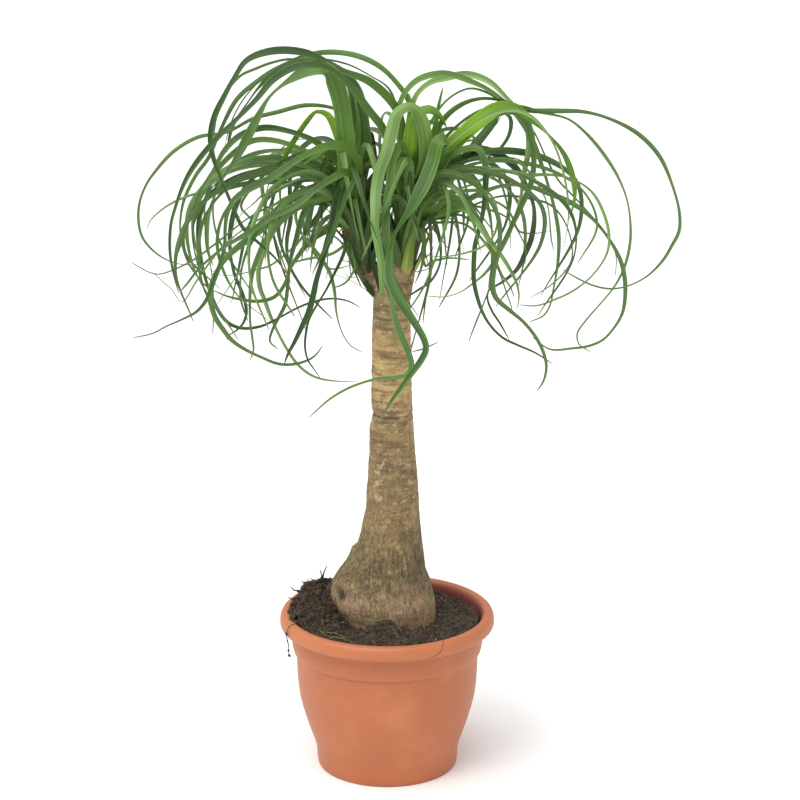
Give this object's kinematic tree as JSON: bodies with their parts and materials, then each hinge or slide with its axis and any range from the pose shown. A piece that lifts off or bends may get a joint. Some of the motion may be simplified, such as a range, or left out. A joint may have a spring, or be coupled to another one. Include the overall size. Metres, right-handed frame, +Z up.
{
  "type": "potted ponytail palm",
  "caption": "Potted ponytail palm: swollen trunk with a forked top, long arching strap leaves, soil and a flared plastic pot; stands on a floor or table.",
  "frame": {"origin": "middle of the flat underside of the pot", "axes": "+Z up along the trunk, +X to the right of the view that shows the fork open, +Y away from that viewer"},
  "size_m": [0.5894, 0.3732, 0.82],
  "materials": {
    "pot": "satin",
    "soil": "matte",
    "bark": "matte",
    "leaf": "satin",
    "young_leaf": "satin"
  },
  "bodies": {
    "root": {"pot": "pot", "soil": "soil", "trunk": "bark", "left_head_leaves": "leaf", "right_head_leaves": "leaf", "left_head_young_leaves": "young_leaf", "right_head_young_leaves": "young_leaf"}
  },
  "joints": []
}
